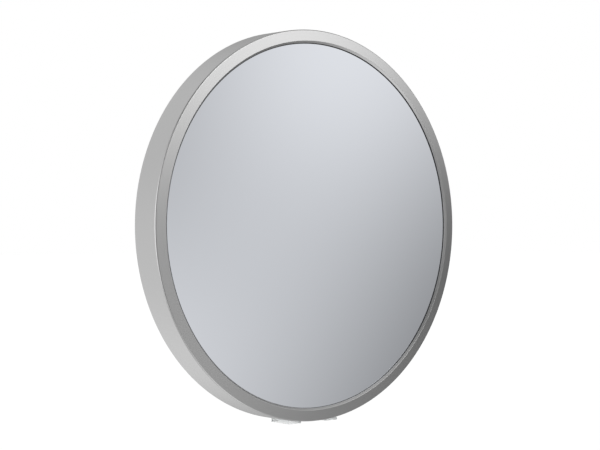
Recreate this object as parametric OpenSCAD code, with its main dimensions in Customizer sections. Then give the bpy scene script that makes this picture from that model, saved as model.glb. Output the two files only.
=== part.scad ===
// Round countertop mirror: a satin aluminium drum frame round a recessed mirror pane,
// standing on two small rim feet, with a folding easel leg let into its back cover.
// Millimetres, +Z up. The origin is on the counter, under the middle of the mirror's
// width and depth. The mirror looks along -Y.

/* [Frame] */
// Outer radius of the frame
frame_r = 150; // [140:1:160]
// Depth of the side wall, from the front edge to the rear edge
rim_depth = 25.5; // [25:0.5:30]
// Thickness of the side wall
rim_wall = 2; // [1.8:0.1:2.4]
// Width of the sloping bezel, measured across the radius
bezel_w = 8.7; // [8:0.1:9.5]
// How far the bezel's crest stands forward of the front edge
bezel_rise = 1.4; // [1.2:0.1:1.8]
// Radius of the soft front edge
edge_r = 1.2; // [0.8:0.1:1.6]
// Width of the chamfer between the crest and the opening
chamfer_w = 1.5; // [1.2:0.1:1.8]
// How far the chamfer runs back from the crest
chamfer_depth = 1.3; // [1:0.1:1.4]
// Thickness of the lip at the foot of the chamfer
lip_t = 0.6; // [0.5:0.1:0.8]

/* [Pane and backing] */
// Thickness of the mirror glass
glass_t = 4; // [3:0.5:4]
// Thickness of the gasket between lip and glass
gasket_t = 0.3; // [0.2:0.1:0.5]
// How far the gasket shows inside the lip
gasket_show = 0.4; // [0.2:0.1:0.6]
// How far the pane sits low in the frame, on its lower blocks
pane_drop = 0.2; // [0:0.1:0.4]
// Thickness of the safety film on the back of the glass
film_t = 0.3; // [0.2:0.1:0.4]
// Thickness of the foam pad
foam_t = 3.9; // [3.6:0.1:4.2]
// Thickness of the steel backing plate
plate_t = 1.5; // [1:0.1:1.5]

/* [Back cover] */
// Wall thickness of the moulded cover
cover_t = 2.5; // [2.2:0.1:2.8]
// How far the cover sits inside the frame's rear edge
cover_recess = 2; // [1.8:0.1:2.2]
// Pitch radius of the cover screws
screw_pitch_r = 128; // [120:1:130]

/* [Easel leg] */
// Height of the hinge axis above the centre of the mirror
hinge_up = 45; // [38:1:50]
// Width of the leg at its hinge
leg_top_w = 44; // [42:1:48]
// Width of the leg at its foot
leg_foot_w = 30; // [26:1:34]
// Sheet thickness of the leg
leg_t = 1.6; // [1.4:0.1:1.8]
// Radius of the hinge pin
pin_r = 2; // [1.8:0.1:2.2]
// How far the leg opens, in degrees
open_angle = 32; // [28:1:36]

/* [Rim feet] */
// How far the feet stand below the frame
foot_proud = 1; // [0.8:0.1:1.5]
// Angle of each foot from the bottom of the frame
foot_angle = 7; // [6:0.5:9]

/* [Hidden] */
$fn = 48;
eps = 0.01;
run = 0.05;

// Depths are measured back from the crest, which is the foremost edge.
front_edge = bezel_rise;
rear_edge = front_edge + rim_depth;
lip_back = chamfer_depth + lip_t;
glass_front = lip_back + gasket_t;
glass_back = glass_front + glass_t;
film_back = glass_back + film_t;
foam_back = film_back + foam_t;
plate_back = foam_back + plate_t;
cover_back = rear_edge - cover_recess;
cover_front = cover_back - cover_t;

// Radii of the round pieces
bore_r = frame_r - rim_wall;
crest_r = frame_r - bezel_w;
lip_r = crest_r - chamfer_w;
lip_overlap = 2.5;
rebate_r = lip_r + lip_overlap;
rebate_back = foam_back - 0.1;
block_t = 0.9;
glass_r = rebate_r - block_t;
plate_r = bore_r - 1.2;
cover_r = bore_r - 0.5;
groove_depth = 0.8;
groove_w = 2.8;
wire_r = 1.2;
wire_ring_r = bore_r - 0.45;
skirt_w = 2.2;
skirt_front = plate_back + groove_w + 0.6;

// Hinge
centre_z = frame_r + foot_proud;
hinge_z = centre_z + hinge_up;
barrel_r = 4;
hinge_depth = rear_edge - barrel_r - 1.6;
bracket_t = 1.5;
washer_t = 1.2;
washer_r = 3.8;
bush_r = pin_r + 0.9;
ear_x = leg_top_w / 2 + 1.6;
ear_r = 4.6;
ear_foot = 9;
barrel_half = ear_x - washer_t - 0.2;
heel_half = 12;
heel_t = 4;
heel_reach = hinge_depth - plate_back - bracket_t - 0.3;
heel_len = (heel_reach - heel_t / 2 * cos(open_angle)) / sin(open_angle);

// Leg
leg_end_z = 9;
leg_top_z = hinge_z - barrel_r - 0.6;
leg_back = rear_edge - 2;
leg_flange = 4;
tang_t = 2.2;
tang_len = 17;
rib_half = 5;
rib_t = 0.9;
rib_z = [leg_end_z + 34, hinge_z - tang_len - 3];
shoe_t = 6;
shoe_h = 14;
shoe_wall = 1.6;
trough_gap = 2.4;
trough_floor_t = 1.6;
trough_back = leg_back - shoe_t - 0.9;
window_half = ear_x + 5;
window_z = [hinge_z - 20, hinge_z + heel_len + 6];
scoop_r = 14;
scoop_z = 70;
scoop_x = leg_half(scoop_z) - 2;

// Screws and rivets
screw_count = 6;
screw_r = 1.5;
screw_head_r = 2.8;
screw_head_h = 1.7;
screw_seat = cover_back - 1.2;
standoff_r = 3.5;
standoff_neck_r = 2.4;
rivet_r = 1.6;
rivet_head_r = 3;
rivet_head_h = 0.9;
bracket_rivet_x = [-18, 18];
bracket_rivet_z = [hinge_z - 18, hinge_z - 10];
leg_rivet_x = [-14, 0, 14];
leg_rivet_z = hinge_z - 12;

// Rim feet
foot_w = 12;
foot_front = front_edge + 3;
foot_back = rear_edge - 1.5;
foot_x = frame_r * sin(foot_angle);
stem_r = 2;
stem_depth = rear_edge - 7.5;

// Half-width of the leg at a height above the counter.
function leg_half(z) = leg_foot_w / 2
    + (leg_top_w - leg_foot_w) / 2 * (z - leg_end_z) / (hinge_z - leg_end_z);

// Centre of a cover screw, as [x, z].
function screw_at(i) = [
    screw_pitch_r * cos(i * 360 / screw_count),
    centre_z + screw_pitch_r * sin(i * 360 / screw_count)
];

// Points that round the corner p, between its neighbours a and b, to a radius.
function unit(v) = v / norm(v);
function soft(a, p, b, r, n = 4) =
    let (u = unit(a - p), v = unit(b - p), half = acos(u * v) / 2,
         c = p + unit(u + v) * r / sin(half),
         s = p + u * r / tan(half) - c, e = p + v * r / tan(half) - c,
         a0 = atan2(s[1], s[0]), a1 = atan2(e[1], e[0]),
         turn = (a1 - a0 + 540) % 360 - 180)
    [for (i = [0 : n]) c + r * [cos(a0 + turn * i / n), sin(a0 + turn * i / n)]];

// Places a shape drawn round +Z, with z as depth, on the mirror's axis or a little below it.
module on_axis(drop = 0) {
    translate([0, -rear_edge / 2, centre_z - drop]) rotate([-90, 0, 0]) children();
}

// A disc on the mirror's axis between two depths, with or without a hole.
module disc(r, d0, d1, hole = 0, drop = 0) {
    on_axis(drop) translate([0, 0, d0]) difference() {
        cylinder(r = r, h = d1 - d0, $fn = 180);
        if (hole > 0) translate([0, 0, -1]) cylinder(r = hole, h = d1 - d0 + 2, $fn = 180);
    }
}

// A solid of revolution round the mirror's axis from an outline of [radius, depth].
module turned(outline, drop = 0) {
    on_axis(drop) rotate_extrude($fn = 180) polygon(outline);
}

// A box from its low and high corners, given as x, depth and height.
module slab(lo, hi) {
    translate([lo[0], lo[1] - rear_edge / 2, lo[2]])
        cube([hi[0] - lo[0], hi[1] - lo[1], hi[2] - lo[2]]);
}

// A cylinder or cone along the depth at [x, z], between two depths.
module peg(at, d0, d1, r, r_end = -1) {
    translate([at[0], d0 - rear_edge / 2, at[1]]) rotate([-90, 0, 0])
        cylinder(r1 = r, r2 = r_end < 0 ? r : r_end, h = d1 - d0);
}

// A plate of an outline drawn in x and z, between two depths.
module plate(d0, d1) {
    translate([0, d1 - rear_edge / 2, 0]) rotate([90, 0, 0])
        linear_extrude(height = d1 - d0) children();
}

// A cylinder or tube along X on the hinge axis.
module on_hinge(x0, x1, r, hole = 0) {
    translate([x0, hinge_depth - rear_edge / 2, hinge_z]) rotate([0, 90, 0]) difference() {
        cylinder(r = r, h = x1 - x0);
        if (hole > 0) translate([0, 0, -1]) cylinder(r = hole, h = x1 - x0 + 2);
    }
}

// Leg's outline seen from behind, grown by a margin: a long taper with a rounded foot.
module leg_outline(grow, z1) {
    z0 = leg_end_z - grow;
    round_r = 6 + grow;
    half = leg_half(z0 + round_r) + grow;
    polygon(concat(
        [[leg_half(z1) + grow, z1], [-leg_half(z1) - grow, z1]],
        [for (i = [0 : 6]) let (a = 180 + 15 * i)
            [-half + round_r + round_r * cos(a), z0 + round_r + round_r * sin(a)]],
        [for (i = [0 : 6]) let (a = 270 + 15 * i)
            [half - round_r + round_r * cos(a), z0 + round_r + round_r * sin(a)]]
    ));
}

// Frame: side wall, soft front edge, sloping bezel, inner chamfer and a rebate for the pane.
module frame_ring() {
    edge = [frame_r, front_edge];
    crest = [crest_r, 0];
    groove = [plate_back + 0.1, plate_back + 0.1 + groove_w];
    color("silver") difference() {
        turned(concat(
            [[bore_r, rear_edge], [frame_r - 0.4, rear_edge], [frame_r, rear_edge - 0.4]],
            soft([frame_r, rear_edge], edge, crest, edge_r),
            [crest, [lip_r, chamfer_depth], [lip_r, lip_back], [rebate_r, lip_back],
             [rebate_r, rebate_back], [bore_r, rebate_back], [bore_r, groove[0]],
             [bore_r + groove_depth, groove[0]], [bore_r + groove_depth, groove[1]],
             [bore_r, groove[1]]]
        ));
        for (side = [-1, 1]) foot_stem(side, bore_r - 2, stem_r + eps);
    }
}

// Black rubber gasket between the lip and the pane, showing as a fine dark line.
module glass_gasket() {
    color("black") disc(glass_r, lip_back, glass_front, lip_r - gasket_show, pane_drop);
}

// Round pane of silvered float glass with ground arrises.
module mirror_glass() {
    arris = 0.5;
    color("lightsteelblue") turned([
        [0, glass_front], [glass_r - arris, glass_front], [glass_r, glass_front + arris],
        [glass_r, glass_back - arris], [glass_r - arris, glass_back], [0, glass_back]
    ], pane_drop);
}

// Safety film on the silvered back of the pane.
module safety_film() {
    color("dimgray") disc(glass_r - 1, glass_back, film_back, drop = pane_drop);
}

// Silicone blocks between the pane's edge and the rebate, thinnest under the pane.
module setting_blocks() {
    count = 6;
    width = 14;
    front = glass_front + 0.6;
    back = glass_back - 0.6;
    color("gainsboro") difference() {
        for (i = [0 : count - 1]) intersection() {
            disc(rebate_r - eps, front, back);
            on_axis() rotate([0, 0, 30 + i * 360 / count])
                translate([glass_r - 2, -width / 2, front]) cube([8, width, back - front]);
        }
        disc(glass_r + eps, front - 1, back + 1, drop = pane_drop);
    }
}

// Foam pad that keeps the pane pressed on its gasket.
module foam_pad() {
    color("darkslategray") disc(glass_r - 1.5, film_back, foam_back, drop = pane_drop);
}

// Steel backing plate with holes for the standoffs and the bracket's rivets.
module backing_plate() {
    color("lightgray") difference() {
        disc(plate_r, foam_back, plate_back);
        for (i = [0 : screw_count - 1])
            peg(screw_at(i), foam_back - 1, plate_back + 1, standoff_neck_r + eps);
        for (x = bracket_rivet_x, z = bracket_rivet_z)
            peg([x, z], foam_back - 1, plate_back + 1, rivet_r + eps);
    }
}

// Split spring-steel ring in the frame's groove, holding the plate against the foam.
module retaining_ring() {
    gap = 16;
    color("gray") difference() {
        on_axis() translate([0, 0, plate_back + 0.02 + wire_r]) rotate_extrude($fn = 180)
            translate([wire_ring_r, 0]) circle(r = wire_r, $fn = 24);
        slab([-gap / 2, 0, centre_z + bore_r - 8], [gap / 2, rear_edge, centre_z + frame_r]);
    }
}

// Press-in threaded standoffs that carry the back cover.
module cover_standoffs() {
    color("silver") for (i = [0 : screw_count - 1]) difference() {
        union() {
            peg(screw_at(i), foam_back + 0.1, plate_back + eps, standoff_neck_r);
            peg(screw_at(i), plate_back, cover_front, standoff_r);
        }
        peg(screw_at(i), plate_back + 2, cover_front + 1, screw_r);
    }
}

// Moulded back cover: flat disc and skirt, a trough for the leg with finger scoops,
// a window for the hinge, and sunk seats for its screws.
module back_cover() {
    color("darkgray") difference() {
        union() {
            disc(cover_r, cover_front, cover_back);
            disc(cover_r, skirt_front, cover_front + eps, cover_r - skirt_w);
            intersection() {
                union() {
                    plate(trough_back - trough_floor_t, cover_back)
                        leg_outline(trough_gap + trough_floor_t, window_z[0] + 2);
                    for (side = [-1, 1]) peg([side * scoop_x, scoop_z],
                        trough_back - trough_floor_t, cover_back, scoop_r + trough_floor_t);
                }
                disc(cover_r, skirt_front, cover_back);
            }
        }
        intersection() {
            union() {
                plate(trough_back, rear_edge) leg_outline(trough_gap, window_z[0] + 4);
                for (side = [-1, 1])
                    peg([side * scoop_x, scoop_z], trough_back, rear_edge, scoop_r);
            }
            disc(cover_r - skirt_w, 0, rear_edge + 1);
        }
        slab([-window_half, 0, window_z[0]], [window_half, rear_edge, window_z[1]]);
        for (i = [0 : screw_count - 1]) {
            peg(screw_at(i), cover_front - 1, rear_edge, screw_r + 0.15);
            peg(screw_at(i), screw_seat, rear_edge, screw_head_r + 0.4);
        }
    }
}

// Pan-head screws that hold the cover, each with a cross recess.
module cover_screws() {
    recess = [3.2, 2, 0.9];
    head_back = screw_seat + screw_head_h;
    color("silver") for (i = [0 : screw_count - 1]) difference() {
        union() {
            peg(screw_at(i), plate_back + 2.5, screw_seat + eps, screw_r - 0.02);
            peg(screw_at(i), screw_seat, head_back, screw_head_r, screw_head_r - 0.7);
        }
        for (turn = [0, 90])
            translate([screw_at(i)[0], head_back - rear_edge / 2, screw_at(i)[1]])
                rotate([0, turn, 0]) translate([-recess[0] / 2, -0.9, -recess[2] / 2])
                    cube(recess);
    }
}

// Pressed-steel bracket: a base with two tapered ears that carry the pin.
module hinge_bracket() {
    rise = hinge_depth - plate_back;
    a = atan2(ear_foot, rise) + acos(ear_r / norm([rise, ear_foot]));
    shoulder = [hinge_depth - ear_r * cos(a), ear_r * sin(a)];
    color("silver") difference() {
        union() {
            slab([-ear_x - bracket_t, plate_back, bracket_rivet_z[0] - 5],
                [ear_x + bracket_t, plate_back + bracket_t, hinge_z + heel_len + 2]);
            for (x = [-ear_x - bracket_t, ear_x]) {
                on_hinge(x, x + bracket_t, ear_r);
                translate([x, -rear_edge / 2, hinge_z]) rotate([90, 0, 90])
                    linear_extrude(height = bracket_t) polygon([
                        [plate_back, -ear_foot], [shoulder[0], -shoulder[1]],
                        [shoulder[0], shoulder[1]], [plate_back, ear_foot]
                    ]);
            }
        }
        on_hinge(-ear_x - bracket_t - 1, ear_x + bracket_t + 1, pin_r + eps);
        for (x = bracket_rivet_x, z = bracket_rivet_z)
            peg([x, z], 0, rear_edge, rivet_r + eps);
    }
}

// Rivets that hold the bracket on the backing plate.
module bracket_rivets() {
    seat = plate_back + bracket_t;
    color("silver") for (x = bracket_rivet_x, z = bracket_rivet_z) {
        peg([x, z], foam_back + 0.1, seat + eps, rivet_r);
        peg([x, z], seat, seat + rivet_head_h, rivet_head_r, rivet_head_r - 0.9);
    }
}

// Hinge pin with a turned head at one end.
module hinge_pin() {
    head_x = -ear_x - bracket_t;
    color("silver") {
        on_hinge(head_x - eps, ear_x + bracket_t + 2, pin_r);
        on_hinge(head_x - 1.5, head_x, pin_r + 1.5);
    }
}

// Push-on retaining clip at the pin's other end.
module pin_clip() {
    clip_x = ear_x + bracket_t + 0.1;
    color("gray") on_hinge(clip_x, clip_x + 1, pin_r + 1.8, pin_r + eps);
}

// Friction washers between the leg's barrel and the ears.
module friction_washers() {
    color("ivory") for (x = [-ear_x + eps, ear_x - washer_t - eps])
        on_hinge(x, x + washer_t, washer_r, pin_r + eps);
}

// Stem of a rim foot, square to the rim, from a radius out to the pad.
module foot_stem(side, from_r, r) {
    on_axis() rotate([0, 0, 90 - side * foot_angle]) translate([from_r, 0, stem_depth])
        rotate([0, 90, 0]) cylinder(r = r, h = frame_r + 1 - from_r);
}

// Clear rubber feet: pads with a flat sole, curved to the rim, each with a press-in stem.
module rim_feet() {
    color("whitesmoke") for (side = [-1, 1]) {
        difference() {
            slab([side * foot_x - foot_w / 2, foot_front, 0],
                [side * foot_x + foot_w / 2, foot_back, foot_proud + 6]);
            disc(frame_r, 0, rear_edge);
        }
        foot_stem(side, bore_r + 0.2, stem_r);
    }
}

// Leg's sheet: a tapered face with turned edges and a stiffening rib inside.
module easel_leg() {
    inner = leg_back - leg_t;
    color("silver") difference() {
        plate(leg_back - leg_flange, leg_back) leg_outline(0, leg_top_z);
        difference() {
            plate(0, inner) leg_outline(-leg_t, leg_top_z + 5);
            slab([-rib_half, inner - rib_t, rib_z[0]], [rib_half, rear_edge, rib_z[1]]);
        }
        for (x = leg_rivet_x) peg([x, leg_rivet_z], 0, rear_edge, rivet_r + eps);
    }
}

// Hinge barrel: a steel tube with a tang under the leg's sheet, and a heel that meets
// the bracket's base when the leg is fully open.
module leg_barrel() {
    tang_back = leg_back - leg_t;
    color("silver") difference() {
        union() {
            on_hinge(-barrel_half, barrel_half, barrel_r);
            slab([-barrel_half + 5, tang_back - tang_t, hinge_z - tang_len],
                [barrel_half - 5, tang_back, hinge_z]);
            slab([-heel_half, hinge_depth - heel_t / 2, hinge_z],
                [heel_half, hinge_depth + heel_t / 2, hinge_z + heel_len]);
        }
        on_hinge(-barrel_half - 1, barrel_half + 1, bush_r + eps);
        for (x = leg_rivet_x) peg([x, leg_rivet_z], 0, rear_edge, rivet_r + eps);
    }
}

// Nylon bushes inside the barrel, one at each end.
module leg_bushes() {
    bush_l = 12;
    color("ivory") for (x = [-barrel_half, barrel_half - bush_l])
        on_hinge(x, x + bush_l, bush_r, pin_r + run);
}

// Rivets that join the leg's sheet to the barrel's tang.
module leg_rivets() {
    color("silver") for (x = leg_rivet_x) {
        peg([x, leg_rivet_z], leg_back - leg_t - tang_t, leg_back + eps, rivet_r);
        peg([x, leg_rivet_z], leg_back, leg_back + 0.7, rivet_head_r - 0.4, rivet_head_r - 1.2);
    }
}

// Rubber shoe moulded round and into the leg's foot.
module leg_shoe() {
    shoe_z = leg_end_z + shoe_h;
    color("dimgray") difference() {
        plate(leg_back - shoe_t, leg_back + 0.8) leg_outline(shoe_wall, shoe_z);
        difference() {
            plate(leg_back - leg_flange, leg_back) leg_outline(0, shoe_z + 5);
            plate(0, leg_back - leg_t) leg_outline(-leg_t, shoe_z + 6);
        }
    }
}

frame_ring();
glass_gasket();
mirror_glass();
safety_film();
setting_blocks();
foam_pad();
backing_plate();
retaining_ring();
cover_standoffs();
back_cover();
cover_screws();
hinge_bracket();
bracket_rivets();
hinge_pin();
pin_clip();
friction_washers();
rim_feet();
easel_leg();
leg_barrel();
leg_bushes();
leg_rivets();
leg_shoe();
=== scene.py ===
"""A round countertop mirror with a satin aluminium rim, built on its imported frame."""

import math

import bmesh
import bpy
import numpy as np
from bpy.props import BoolProperty, FloatProperty, FloatVectorProperty, PointerProperty
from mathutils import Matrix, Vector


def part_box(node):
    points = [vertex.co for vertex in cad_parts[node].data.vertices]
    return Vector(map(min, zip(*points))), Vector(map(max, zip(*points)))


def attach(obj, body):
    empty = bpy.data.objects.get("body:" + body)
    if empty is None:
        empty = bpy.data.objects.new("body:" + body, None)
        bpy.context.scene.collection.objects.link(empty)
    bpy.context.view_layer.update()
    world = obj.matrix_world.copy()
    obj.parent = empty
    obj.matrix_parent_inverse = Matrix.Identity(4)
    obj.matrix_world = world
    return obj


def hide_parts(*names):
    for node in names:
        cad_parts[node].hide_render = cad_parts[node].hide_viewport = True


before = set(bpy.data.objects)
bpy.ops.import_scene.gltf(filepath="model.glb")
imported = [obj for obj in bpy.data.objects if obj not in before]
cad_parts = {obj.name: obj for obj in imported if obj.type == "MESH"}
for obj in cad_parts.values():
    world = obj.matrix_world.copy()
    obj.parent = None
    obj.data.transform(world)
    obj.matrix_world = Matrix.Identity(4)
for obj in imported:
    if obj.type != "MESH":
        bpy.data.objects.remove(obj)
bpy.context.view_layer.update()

bl_info = {
    "name": "Round countertop mirror",
    "version": (1, 0, 0),
    "blender": (4, 5, 0),
    "location": "View3D > Sidebar > Counter mirror",
    "description": "Builds a round counter mirror with a turned rim and a folding easel leg",
    "category": "Object",
}

MM = 0.001
# Steps round a turned piece
TURNED_STEPS = 360
# CAD vertices nearer than this are one vertex, and faces within this angle are one face.
MERGE_DISTANCE = 0.002 * MM
FLAT_ANGLE = math.radians(0.5)
# Edges sharper than this are rounded by a bevel.
SHARP_ANGLE = math.radians(35)
# Half the width of the floor, in metres
FLOOR_HALF = 6.0


def srgb(code):
    """A six-figure sRGB hex colour as linear red, green and blue."""
    value = np.array([int(code[i:i + 2], 16) for i in (1, 3, 5)]) / 255
    linear = np.where(value <= 0.04045, value / 12.92, ((value + 0.055) / 1.055) ** 2.4)
    return tuple(float(channel) for channel in linear)


def shade(name, description, code):
    """A colour property that a user can change, with its default as sRGB hex."""
    return FloatVectorProperty(name=name, description=description, default=srgb(code),
                               subtype="COLOR", min=0.0, max=1.0)


def length(name, description, size_mm, low_mm, high_mm):
    """A length property in metres, with its default and range given in millimetres."""
    return FloatProperty(name=name, description=description, default=size_mm * MM,
                         min=low_mm * MM, max=high_mm * MM, precision=5,
                         subtype="DISTANCE", unit="LENGTH")


# ---- Places that come from the frame ----

RING_LOW, RING_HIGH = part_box("frame_ring")
GASKET_LOW, GASKET_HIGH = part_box("glass_gasket")
GLASS_LOW, GLASS_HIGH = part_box("mirror_glass")
PLATE_LOW, PLATE_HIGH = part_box("backing_plate")
RIM_RADIUS = (RING_HIGH.x - RING_LOW.x) / 2
CENTRE_Z = (RING_HIGH.z + RING_LOW.z) / 2
PANE_Z = (GLASS_HIGH.z + GLASS_LOW.z) / 2


class RimSettings(bpy.types.PropertyGroup):
    """Sizes and finish of the turned rim."""

    bezel_width: length("Bezel width", "Width of the sloping bezel across the radius", 8.7, 8, 9.5)
    bezel_rise: length("Bezel rise", "How far the crest stands before the front edge", 1.4, 1.2, 1.8)
    edge_radius: length("Edge radius", "Radius of the soft front edge", 1.2, 0.8, 1.6)
    crest_radius: length("Crest radius", "Radius of the soft crest", 0.3, 0.1, 0.6)
    chamfer_width: length("Chamfer width", "Width of the chamfer inside the crest", 1.5, 1.2, 1.8)
    chamfer_depth: length("Chamfer depth", "How far the chamfer runs back", 1.3, 1, 1.4)
    rebate: length("Rebate", "How far the pane's rebate reaches behind the lip", 2.5, 2, 3)
    wall: length("Wall", "Thickness of the side wall", 2.0, 1.8, 2.4)
    grain: length("Grain", "Spacing of the turned grain", 0.35, 0.1, 1)
    satin: FloatProperty(name="Satin", description="Roughness of the anodised surface",
                         default=0.34, min=0.1, max=0.6)
    metal: shade("Metal", "Colour of the anodised aluminium", "#D4D4D4")


class PaneSettings(bpy.types.PropertyGroup):
    """Finish of the mirror pane and its gasket."""

    gasket_show: length("Gasket show", "How far the gasket shows inside the lip", 0.4, 0.2, 0.6)
    arris: length("Arris", "Width of the ground edge of the glass", 0.5, 0.2, 1)
    silver: shade("Silver", "Colour of the silvering through the glass", "#DEE1E7")
    rubber: shade("Rubber", "Colour of the gasket", "#2C2C2D")


class BackSettings(bpy.types.PropertyGroup):
    """Finish of the back cover, the leg and the feet."""

    cover: shade("Cover", "Colour of the moulded cover", "#3A3C3E")
    grit: length("Grit", "Size of the cover's moulded texture", 0.9, 0.3, 2)
    leg: shade("Leg", "Colour of the powder-coated leg", "#A9ABAD")
    zinc: shade("Zinc", "Colour of the zinc plating", "#B4B8BB")
    shoe: shade("Shoe", "Colour of the rubber shoe", "#1E1E1F")
    foot: shade("Foot", "Colour of the clear feet", "#F4F6F6")


class StageSettings(bpy.types.PropertyGroup):
    """Camera, floor and background."""

    distance: FloatProperty(name="Camera distance", description="From the rim's front edge plane",
                            default=1.2098, min=0.6, max=3, subtype="DISTANCE",
                            unit="LENGTH")
    side: FloatProperty(name="Camera side", description="Angle to the mirror's left",
                        default=math.radians(40.836), min=0, max=math.pi / 2, subtype="ANGLE")
    aim: FloatProperty(name="Aim", description="Turn of the camera away from the centre",
                       default=math.radians(-0.575), min=-0.2, max=0.2, subtype="ANGLE")
    lens: FloatProperty(name="Lens", description="Focal length in millimetres",
                        default=94.58, min=35, max=200)
    shift: FloatProperty(name="Shift", description="Shift of the view upwards",
                         default=0.0008, min=-0.1, max=0.1, precision=4)
    floor: shade("Floor", "Colour of the floor under its own white glow", "#101010")
    white: BoolProperty(name="White ground", description="Show a white background",
                        default=True)


class CounterMirrorSettings(bpy.types.PropertyGroup):
    """All settings of the counter mirror."""

    rim: PointerProperty(type=RimSettings)
    pane: PointerProperty(type=PaneSettings)
    back: PointerProperty(type=BackSettings)
    stage: PointerProperty(type=StageSettings)


# ---- Surfaces ----

def unit(rows):
    """Each row divided by its length."""
    return rows / np.linalg.norm(rows, axis=-1, keepdims=True)


def rounded(corners, radii, points=6):
    """An outline's corners turned into arcs, with the outward normal at every point.

    Each arc's centre lies on its corner's bisector, radius / sin(half angle) from the
    corner, and the arc runs between the two sides that it touches. The corners run
    anticlockwise in the plane of radius and depth.
    """
    corner = np.asarray(corners, float)
    radius = np.asarray(radii, float)[:, None]
    back = unit(np.roll(corner, 1, 0) - corner)
    ahead = unit(np.roll(corner, -1, 0) - corner)
    half = np.arccos(np.clip((back * ahead).sum(1, keepdims=True), -1, 1)) / 2
    centre = corner + unit(back + ahead) * radius / np.sin(half)
    first = corner + back * radius / np.tan(half) - centre
    last = corner + ahead * radius / np.tan(half) - centre
    start = np.arctan2(first[:, 1], first[:, 0])
    turn = np.arctan2(last[:, 1], last[:, 0]) - start
    turn = (turn + np.pi) % (2 * np.pi) - np.pi
    angle = start[:, None] + turn[:, None] * np.linspace(0, 1, points)
    spoke = np.stack([np.cos(angle), np.sin(angle)], -1)
    outline = centre[:, None] + radius[:, None] * spoke
    normal = np.sign(turn)[:, None, None] * spoke
    return outline.reshape(-1, 2), normal.reshape(-1, 2)


def finished(name, mesh, coat, body, slot, *nodes):
    """Links a mesh as a piece that rides on a body and stands for CAD nodes."""
    piece = bpy.data.objects.new(name, mesh)
    bpy.context.scene.collection.objects.link(piece)
    mesh.materials.append(coat)
    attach(piece, body)
    if nodes:
        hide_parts(*nodes)
    return piece


def turned(name, outline, normal, centre):
    """An outline of radius and depth carried round an axis along Y at a centre height.

    x = radius * cos(turn), y = depth, z = centre + radius * sin(turn). An outline
    that starts and ends on the axis closes there on a single point at each end. The
    attribute "turning" holds cos(turn), sin(turn) and the way along the outline, and the
    map "turning_uv" holds the turn and that way, for grain that follows the turning.
    """
    on_axis = outline[0, 0] < 1e-9
    along = np.concatenate([[0], np.cumsum(np.linalg.norm(np.diff(outline, axis=0), axis=1))])
    steps = TURNED_STEPS
    turn = np.arange(steps) * 2 * np.pi / steps
    ring = outline[1:-1] if on_axis else outline
    ring_normal = normal[1:-1] if on_axis else normal
    way = along[1:-1] if on_axis else along
    count = len(ring)
    cos, sin = np.cos(turn), np.sin(turn)

    def spun(radius, depth):
        return np.stack([radius[:, None] * cos, depth[:, None] + 0 * cos,
                         radius[:, None] * sin], -1).reshape(-1, 3)

    place = spun(ring[:, 0], ring[:, 1])
    facing = spun(ring_normal[:, 0], ring_normal[:, 1])
    turning = np.stack([np.tile(cos, count), np.tile(sin, count), np.repeat(way, steps)], -1)
    rows = np.arange(count - 1) if on_axis else np.arange(count)
    i, j = np.meshgrid(rows, np.arange(steps), indexing="ij")
    i2, j2 = (i + 1) % count, (j + 1) % steps
    faces = np.stack([i * steps + j, i2 * steps + j, i2 * steps + j2, i * steps + j2], -1)
    faces = faces.reshape(-1, 4).tolist()
    if on_axis:
        ends = np.array([[0, outline[0, 1], 0], [0, outline[-1, 1], 0]])
        place = np.vstack([place, ends])
        facing = np.vstack([facing, [[0, -1, 0], [0, 1, 0]]])
        turning = np.vstack([turning, [[0, 0, 0], [0, 0, along[-1]]]])
        first, second = count * steps, count * steps + 1
        step = np.arange(steps)
        after = (step + 1) % steps
        tail = (count - 1) * steps
        faces += np.stack([np.full(steps, first), step, after], -1).tolist()
        faces += np.stack([tail + after, tail + step, np.full(steps, second)], -1).tolist()
    place[:, 2] += centre
    mesh = bpy.data.meshes.new(name)
    mesh.from_pydata(place.tolist(), [], faces)
    attribute = mesh.attributes.new("turning", "FLOAT_VECTOR", "POINT")
    attribute.data.foreach_set("vector", turning.ravel())
    corners = np.empty(len(mesh.loops), np.int32)
    mesh.loops.foreach_get("vertex_index", corners)
    u = np.arctan2(turning[corners, 1], turning[corners, 0]) / (2 * np.pi) % 1
    starts = np.empty(len(mesh.polygons), np.int32)
    totals = np.empty(len(mesh.polygons), np.int32)
    mesh.polygons.foreach_get("loop_start", starts)
    mesh.polygons.foreach_get("loop_total", totals)
    widest = np.repeat(np.maximum.reduceat(u, starts), totals)
    u = np.where(widest - u > 0.5, u + 1, u)
    layer = mesh.uv_layers.new(name="turning_uv")
    layer.data.foreach_set("uv", np.stack([u, turning[corners, 2]], -1).ravel())
    mesh.shade_smooth()
    mesh.normals_split_custom_set_from_vertices(facing.tolist())
    return mesh


def softened(name, node, width, segments=3):
    """A merged copy of a CAD node with its sharp edges rounded by a bevel."""
    work = bmesh.new()
    work.from_mesh(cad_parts[node].data)
    bmesh.ops.remove_doubles(work, verts=work.verts, dist=MERGE_DISTANCE)
    bmesh.ops.dissolve_limit(work, angle_limit=FLAT_ANGLE, verts=work.verts,
                             edges=work.edges, use_dissolve_boundaries=False)
    bmesh.ops.recalc_face_normals(work, faces=work.faces)
    mesh = bpy.data.meshes.new(name)
    work.to_mesh(mesh)
    work.free()
    mesh.shade_smooth()
    return mesh, dict(width=width, limit_method="ANGLE", angle_limit=SHARP_ANGLE,
                      segments=segments, use_clamp_overlap=True, miter_outer="MITER_ARC")


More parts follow.
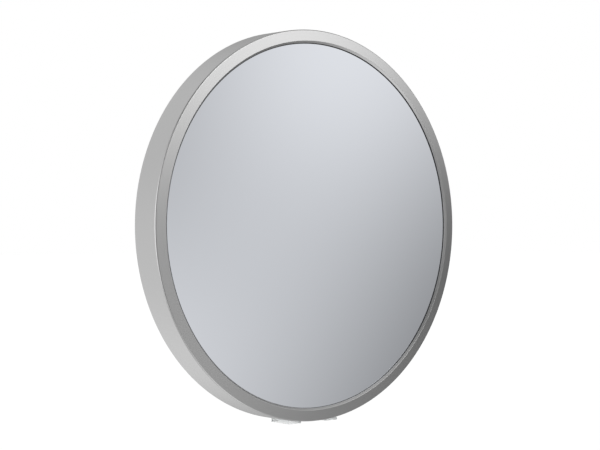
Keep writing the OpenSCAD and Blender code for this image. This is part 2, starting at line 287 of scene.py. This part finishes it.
def moulded(name, node, width, coat, body, slot, **how):
    """A piece made from a CAD node's merged copy, with a live bevel."""
    mesh, bevel_settings = softened(name, node, width, **how)
    piece = finished(name, mesh, coat, body, slot, node)
    bevel = piece.modifiers.new("soft_edges", "BEVEL")
    for key, value in bevel_settings.items():
        setattr(bevel, key, value)
    even = piece.modifiers.new("even_shading", "WEIGHTED_NORMAL")
    even.weight = 100
    even.keep_sharp = True
    return piece


# ---- Materials ----

def add(tree, kind, settings=None, links=None, **values):
    """Adds a node, with its settings, its unlinked values and the links into it."""
    made = tree.nodes.new(kind)
    for key, value in (settings or {}).items():
        setattr(made, key, value)
    for key, value in values.items():
        made.inputs[key].default_value = value
    for key, source in (links or {}).items():
        tree.links.new(source, made.inputs[key])
    return made


def material(name, colour, **values):
    """A new material with a Principled shader set to a colour and typical values."""
    made = bpy.data.materials.new(name)
    made.use_nodes = True
    tree = made.node_tree
    tree.nodes.clear()
    shader = add(tree, "ShaderNodeBsdfPrincipled", **{"Base Color": (*colour, 1)})
    for key, value in values.items():
        shader.inputs[key.replace("_", " ")].default_value = value
    add(tree, "ShaderNodeOutputMaterial", links={"Surface": shader.outputs["BSDF"]})
    made.diffuse_color = (*colour, 1)
    return made, tree, shader


def ramped(tree, source, low, high):
    """A value between 0 and 1 brought to a range."""
    return add(tree, "ShaderNodeMapRange", links={"Value": source},
               **{"To Min": low, "To Max": high}).outputs["Result"]


def bumped(tree, shader, source, height):
    """Raises the surface by a pattern, by a height in metres."""
    bump = add(tree, "ShaderNodeBump", links={"Height": source},
               Strength=1.0, Distance=height)
    tree.links.new(bump.outputs["Normal"], shader.inputs["Normal"])


def grit(tree, size, detail=2.0):
    """Noise on object coordinates, with grains of a size in metres."""
    place = add(tree, "ShaderNodeTexCoord").outputs["Object"]
    return add(tree, "ShaderNodeTexNoise", {"normalize": True}, {"Vector": place},
               Scale=1 / size, Detail=detail, Roughness=0.5).outputs["Fac"]


def anodised_aluminium(settings):
    """Turned and satin-anodised aluminium: an even grey sheen drawn out across fine rings."""
    made, tree, shader = material("anodised_aluminium", settings.metal, Metallic=1.0,
                                  Roughness=settings.satin, Anisotropic=0.3)
    turning = add(tree, "ShaderNodeAttribute", {"attribute_name": "turning"}).outputs["Vector"]
    # Scratches run 25 mm round the rim and lie one grain apart; real ones are finer still.
    stretched = add(tree, "ShaderNodeVectorMath", {"operation": "MULTIPLY"}, {0: turning})
    stretched.inputs[1].default_value = (6, 6, 1 / settings.grain)
    streak = add(tree, "ShaderNodeTexNoise", links={"Vector": stretched.outputs["Vector"]},
                 Scale=1.0, Detail=3.0, Roughness=0.6).outputs["Fac"]
    tree.links.new(ramped(tree, streak, settings.satin - 0.05, settings.satin + 0.05),
                   shader.inputs["Roughness"])
    bumped(tree, shader, streak, 0.0015 * MM)
    tangent = add(tree, "ShaderNodeTangent", {"direction_type": "UV_MAP", "uv_map": "turning_uv"})
    tree.links.new(tangent.outputs["Tangent"], shader.inputs["Tangent"])
    return made


def silvered_glass(settings):
    """Silvered float glass: a clean, very slightly blue mirror under a polished face."""
    made, _, _ = material("silvered_float_glass", settings.silver, Metallic=1.0,
                          Roughness=0.0, Coat_Weight=0.6, Coat_IOR=1.52, Coat_Roughness=0.0)
    return made


def moulded_rubber(name, colour, grain, roughness=0.6):
    """Moulded rubber or silicone: matt, with a faint cloudy bloom from the mould."""
    made, tree, shader = material(name, colour, Roughness=roughness, IOR=1.52)
    cloud = grit(tree, grain)
    tree.links.new(ramped(tree, cloud, roughness - 0.08, roughness + 0.08),
                   shader.inputs["Roughness"])
    bumped(tree, shader, cloud, 0.02 * MM)
    return made


def textured_abs(settings):
    """Injection-moulded ABS with a spark-eroded texture: soft broken highlights."""
    made, tree, shader = material("textured_abs", settings.cover, Roughness=0.5, IOR=1.53)
    # The real texture is about 0.1 mm; it is drawn coarser so that it shows.
    pebble = grit(tree, settings.grit, 4.0)
    tree.links.new(ramped(tree, pebble, 0.42, 0.58), shader.inputs["Roughness"])
    bumped(tree, shader, pebble, 0.06 * MM)
    return made


def powder_coat(settings):
    """Silver powder coat on steel: a low metallic gloss with a fine orange peel."""
    made, tree, shader = material("silver_powder_coat", settings.leg, Metallic=0.55,
                                  Roughness=0.42, IOR=1.5)
    peel = grit(tree, 1.4 * MM, 1.0)
    bumped(tree, shader, peel, 0.02 * MM)
    speck = grit(tree, 0.3 * MM, 0.0)
    tree.links.new(ramped(tree, speck, 0.36, 0.48), shader.inputs["Roughness"])
    return made


def zinc_plate(settings):
    """Bright zinc plate: a bluish metal with cloudy patches where it passivated."""
    made, tree, shader = material("zinc_plated_steel", settings.zinc, Metallic=1.0,
                                  Roughness=0.32)
    patch = grit(tree, 5 * MM, 3.0)
    tree.links.new(ramped(tree, patch, 0.24, 0.42), shader.inputs["Roughness"])
    return made


def spring_steel():
    """Oil-blackened spring steel: dark, with a dull metal sheen."""
    made, tree, shader = material("spring_steel", srgb("#4E4D4D"), Metallic=1.0,
                                  Roughness=0.4)
    patch = grit(tree, 2 * MM)
    tree.links.new(ramped(tree, patch, 0.34, 0.46), shader.inputs["Roughness"])
    return made


def natural_nylon():
    """Natural nylon: milky and waxy."""
    made, tree, shader = material("natural_nylon", srgb("#DEDBD1"), Roughness=0.42, IOR=1.53,
                                  Subsurface_Weight=0.2, Subsurface_Scale=1 * MM)
    bumped(tree, shader, grit(tree, 0.8 * MM), 0.01 * MM)
    return made


def frosted_rubber(settings):
    """Clear thermoplastic rubber: milky and half see-through, with a frosted skin."""
    made, tree, shader = material("clear_rubber", settings.foot, Roughness=0.3, IOR=1.49,
                                  Transmission_Weight=0.85)
    bumped(tree, shader, grit(tree, 0.5 * MM), 0.01 * MM)
    return made


def cell_foam():
    """Closed-cell foam: dull charcoal with small open pits where it was cut."""
    made, tree, shader = material("cell_foam", srgb("#2C2D2E"), Roughness=0.9)
    place = add(tree, "ShaderNodeTexCoord").outputs["Object"]
    cell = add(tree, "ShaderNodeTexVoronoi", links={"Vector": place}, Scale=1 / (0.7 * MM))
    bumped(tree, shader, cell.outputs["Distance"], 0.15 * MM)
    return made


def safety_film():
    """Grey polyester film: thin and even, with a slight gloss."""
    made, tree, shader = material("polyester_film", srgb("#6B6F73"), Roughness=0.3, IOR=1.6)
    bumped(tree, shader, grit(tree, 8 * MM), 0.02 * MM)
    return made


def dress(made, *nodes):
    """Gives CAD nodes a material in place of the one they were packed with."""
    for node in nodes:
        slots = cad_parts[node].material_slots
        for slot in slots:
            slot.material = made
        if not slots:
            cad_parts[node].data.materials.append(made)


# ---- Operators ----

def settings_of(context):
    """The counter mirror's settings in this scene."""
    return context.scene.counter_mirror


class COUNTERMIRROR_OT_rim(bpy.types.Operator):
    """Turn the rim: side wall, soft front edge, sloping bezel and inner chamfer"""

    bl_idname = "counter_mirror.rim"
    bl_label = "Turned rim"

    def execute(self, context):
        rim = settings_of(context).rim
        crest = RIM_RADIUS - rim.bezel_width
        lip = crest - rim.chamfer_width
        rebate = lip + rim.rebate
        bore = RIM_RADIUS - rim.wall
        front, rear = RING_LOW.y, RING_HIGH.y
        seat = GASKET_LOW.y
        shoulder = PLATE_LOW.y - 0.1 * MM
        corners = [
            (bore, rear), (bore, shoulder), (rebate, shoulder), (rebate, seat), (lip, seat),
            (lip, front + rim.chamfer_depth), (crest, front),
            (RIM_RADIUS, front + rim.bezel_rise), (RIM_RADIUS, rear),
        ]
        radii = np.array([0.3, 0.2, 0.2, 0.2, 0.08, 0.12, rim.crest_radius / MM,
                          rim.edge_radius / MM, 0.5]) * MM
        mesh = turned("turned_rim", *rounded(corners, radii, 8), CENTRE_Z)
        finished("turned_rim", mesh, anodised_aluminium(rim), "mirror", "satin_aluminium",
                 "frame_ring")
        return {"FINISHED"}


class COUNTERMIRROR_OT_gasket(bpy.types.Operator):
    """Make the black gasket that shows as a fine line round the pane"""

    bl_idname = "counter_mirror.gasket"
    bl_label = "Gasket"

    def execute(self, context):
        both = settings_of(context)
        outer = (GASKET_HIGH.x - GASKET_LOW.x) / 2
        inner = (RIM_RADIUS - both.rim.bezel_width - both.rim.chamfer_width
                 - both.pane.gasket_show)
        low, high = GASKET_LOW.y, GASKET_HIGH.y
        corners = [(outer, high), (inner, high), (inner, low), (outer, low)]
        mesh = turned("gasket_bead", *rounded(corners, np.full(4, 0.1 * MM), 5), PANE_Z)
        rubber = moulded_rubber("epdm_rubber", both.pane.rubber, 1.5 * MM)
        finished("gasket_bead", mesh, rubber, "mirror", "black_gasket", "glass_gasket")
        return {"FINISHED"}


class COUNTERMIRROR_OT_pane(bpy.types.Operator):
    """Cut the round mirror pane with its ground arrises"""

    bl_idname = "counter_mirror.pane"
    bl_label = "Mirror pane"

    def execute(self, context):
        pane = settings_of(context).pane
        radius = (GLASS_HIGH.x - GLASS_LOW.x) / 2
        front, back = GLASS_LOW.y, GLASS_HIGH.y
        corners = [(0, back), (0, front), (radius, front), (radius, back)]
        outline, normal = rounded(corners, np.full(4, pane.arris), 6)
        edge = slice(12, 24)
        outline = np.vstack([[0, front], outline[edge], [0, back]])
        normal = np.vstack([[0, -1], normal[edge], [0, 1]])
        mesh = turned("mirror_pane", outline, normal, PANE_Z)
        finished("mirror_pane", mesh, silvered_glass(pane), "mirror", "silvered_glass",
                 "mirror_glass")
        return {"FINISHED"}


class COUNTERMIRROR_OT_backing(bpy.types.Operator):
    """Finish the pieces that are stacked behind the pane"""

    bl_idname = "counter_mirror.backing"
    bl_label = "Backing"

    def execute(self, context):
        zinc = zinc_plate(settings_of(context).back)
        dress(zinc, "backing_plate", "cover_standoffs", "bracket_rivets")
        dress(spring_steel(), "retaining_ring", "pin_clip")
        dress(safety_film(), "safety_film")
        dress(cell_foam(), "foam_pad")
        dress(natural_nylon(), "friction_washers", "leg_bushes")
        dress(moulded_rubber("silicone_rubber", srgb("#C9CBCB"), 1.5 * MM), "setting_blocks")
        return {"FINISHED"}


class COUNTERMIRROR_OT_cover(bpy.types.Operator):
    """Mould the back cover with its trough, and put in its screws"""

    bl_idname = "counter_mirror.cover"
    bl_label = "Back cover and screws"

    def execute(self, context):
        back = settings_of(context).back
        moulded("moulded_cover", "back_cover", 0.45 * MM, textured_abs(back), "mirror",
                "cover_plastic")
        moulded("pan_head_screws", "cover_screws", 0.18 * MM,
                bpy.data.materials["zinc_plated_steel"], "mirror", "zinc_steel", segments=2)
        return {"FINISHED"}


class COUNTERMIRROR_OT_hinge(bpy.types.Operator):
    """Press the hinge bracket and turn the barrel and pin"""

    bl_idname = "counter_mirror.hinge"
    bl_label = "Hinge"

    def execute(self, context):
        zinc = bpy.data.materials["zinc_plated_steel"]
        moulded("pressed_bracket", "hinge_bracket", 0.3 * MM, zinc, "mirror", "zinc_steel")
        moulded("headed_pin", "hinge_pin", 0.3 * MM, zinc, "mirror", "zinc_steel")
        moulded("barrel_and_heel", "leg_barrel", 0.3 * MM, zinc, "leg", "zinc_steel")
        moulded("domed_leg_rivets", "leg_rivets", 0.2 * MM, zinc, "leg", "zinc_steel")
        return {"FINISHED"}


class COUNTERMIRROR_OT_leg(bpy.types.Operator):
    """Press the easel leg and mould its rubber shoe"""

    bl_idname = "counter_mirror.leg"
    bl_label = "Easel leg and shoe"

    def execute(self, context):
        back = settings_of(context).back
        moulded("pressed_leg", "easel_leg", 0.6 * MM, powder_coat(back), "leg", "leg_steel")
        moulded("moulded_shoe", "leg_shoe", 0.5 * MM,
                moulded_rubber("nitrile_rubber", back.shoe, 1.2 * MM), "leg", "black_rubber")
        return {"FINISHED"}


class COUNTERMIRROR_OT_feet(bpy.types.Operator):
    """Mould the clear rim feet"""

    bl_idname = "counter_mirror.feet"
    bl_label = "Rim feet"

    def execute(self, context):
        back = settings_of(context).back
        moulded("clear_feet", "rim_feet", 0.3 * MM, frosted_rubber(back), "mirror",
                "clear_rubber")
        return {"FINISHED"}


# Soft lights of the studio: azimuth from the viewer's side (-Y) towards +X, elevation,
# spread and strength, with the angles in degrees. Most of the values are the rounded
# result of a least-squares fit and not lights that were set by hand.
SOFT_LIGHTS = (
    (15, 30, 12, 3.1),
    (15, -25, 12, 0.65),
    (0, -65, 20, 1.4),
    (32, -7, 6.7, 1.0),
    (41, -3, 4, 0.2),
    (42, 6, 5, 0.8),
    (52, 28, 12, 1.9),
    (65, -25, 12, 0.35),
    (60, 75, 15, 0.6),
    (-80, 0, 22, 2.2),
    (180, 40, 30, 0.75),
    (180, -40, 30, 1.0),
    (220, 0, 25, 0.42),
)
AMBIENT = 0.015


def soft_light_sky(world, white):
    """Light from all round, as soft lobes: strength * exp((cos(angle) - 1) / spread^2)."""
    world.use_nodes = True
    tree = world.node_tree
    tree.nodes.clear()
    toward = add(tree, "ShaderNodeTexCoord").outputs["Generated"]
    total = None
    for azimuth, elevation, spread, strength in SOFT_LIGHTS:
        turn, rise, width = (math.radians(a) for a in (azimuth, elevation, spread))
        aim = (math.sin(turn) * math.cos(rise), -math.cos(turn) * math.cos(rise), math.sin(rise))
        dot = add(tree, "ShaderNodeVectorMath", {"operation": "DOT_PRODUCT"}, {0: toward})
        dot.inputs[1].default_value = aim
        power = add(tree, "ShaderNodeMath", {"operation": "MULTIPLY_ADD"},
                    {0: dot.outputs["Value"]})
        power.inputs[1].default_value = 1 / width ** 2
        power.inputs[2].default_value = -1 / width ** 2
        lobe = add(tree, "ShaderNodeMath", {"operation": "EXPONENT"}, {0: power.outputs[0]})
        level = add(tree, "ShaderNodeMath", {"operation": "MULTIPLY_ADD"}, {0: lobe.outputs[0]})
        level.inputs[1].default_value = strength
        level.inputs[2].default_value = AMBIENT
        if total is not None:
            tree.links.new(total, level.inputs[2])
        total = level.outputs[0]
    sky = add(tree, "ShaderNodeBackground", links={"Strength": total})
    plain = add(tree, "ShaderNodeBackground", Color=(1, 1, 1, 1), Strength=1.0)
    seen = add(tree, "ShaderNodeLightPath").outputs["Is Camera Ray"]
    both = add(tree, "ShaderNodeMixShader",
               links={0: seen, 1: sky.outputs[0], 2: plain.outputs[0]} if white
               else {1: sky.outputs[0], 2: sky.outputs[0]})
    add(tree, "ShaderNodeOutputWorld", links={"Surface": both.outputs[0]})


class COUNTERMIRROR_OT_stage(bpy.types.Operator):
    """Set up the floor, the soft light and the camera"""

    bl_idname = "counter_mirror.stage"
    bl_label = "Stage"

    def execute(self, context):
        rim, stage = settings_of(context).rim, settings_of(context).stage
        scene = context.scene
        half = FLOOR_HALF
        mesh = bpy.data.meshes.new("floor")
        mesh.from_pydata([(-half, -half, 0), (half, -half, 0), (half, half, 0), (-half, half, 0)],
                         [], [(0, 1, 2, 3)])
        floor = bpy.data.objects.new("floor", mesh)
        scene.collection.objects.link(floor)
        made, _, _ = material("white_floor", stage.floor, Roughness=1.0,
                              Emission_Color=(1, 1, 1, 1), Emission_Strength=1.0)
        mesh.materials.append(made)
        floor.visible_glossy = False
        floor.visible_diffuse = False
        floor.visible_shadow = False
        world = bpy.data.worlds.new("soft_studio")
        scene.world = world
        soft_light_sky(world, stage.white)
        data = bpy.data.cameras.new("camera")
        camera = bpy.data.objects.new("camera", data)
        scene.collection.objects.link(camera)
        data.lens = stage.lens
        data.sensor_width = 36
        data.clip_start = 0.05
        data.shift_y = stage.shift
        edge_plane = RING_LOW.y + rim.bezel_rise
        camera.location = (-stage.distance * math.sin(stage.side),
                           edge_plane - stage.distance * math.cos(stage.side), CENTRE_Z)
        camera.rotation_euler = (math.pi / 2, 0, -stage.side - stage.aim)
        scene.camera = camera
        scene.view_settings.view_transform = "Standard"
        return {"FINISHED"}


class COUNTERMIRROR_PT_panel(bpy.types.Panel):
    """Sidebar panel that lists the mirror's pieces"""

    bl_idname = "COUNTERMIRROR_PT_panel"
    bl_label = "Counter mirror"
    bl_space_type = "VIEW_3D"
    bl_region_type = "UI"
    bl_category = "Counter mirror"

    def draw(self, context):
        for group in ("rim", "pane", "back", "stage"):
            box = self.layout.box()
            settings = getattr(settings_of(context), group)
            for key in settings.__annotations__:
                box.prop(settings, key)
        for operator in OPERATORS:
            self.layout.operator(operator.bl_idname)


SETTINGS = (RimSettings, PaneSettings, BackSettings, StageSettings, CounterMirrorSettings)
OPERATORS = (
    COUNTERMIRROR_OT_rim, COUNTERMIRROR_OT_gasket, COUNTERMIRROR_OT_pane,
    COUNTERMIRROR_OT_backing, COUNTERMIRROR_OT_cover, COUNTERMIRROR_OT_hinge,
    COUNTERMIRROR_OT_leg, COUNTERMIRROR_OT_feet, COUNTERMIRROR_OT_stage,
)


def register():
    """Registers the settings, the operators and the panel."""
    for each in (*SETTINGS, *OPERATORS, COUNTERMIRROR_PT_panel):
        bpy.utils.register_class(each)
    bpy.types.Scene.counter_mirror = PointerProperty(type=CounterMirrorSettings)


def unregister():
    """Removes what register added."""
    del bpy.types.Scene.counter_mirror
    for each in reversed((*SETTINGS, *OPERATORS, COUNTERMIRROR_PT_panel)):
        bpy.utils.unregister_class(each)


def main():
    """Builds every piece and the stage in order."""
    register()
    for operator in OPERATORS:
        category, name = operator.bl_idname.split(".")
        getattr(getattr(bpy.ops, category), name)()


if __name__ == "__main__":
    main()
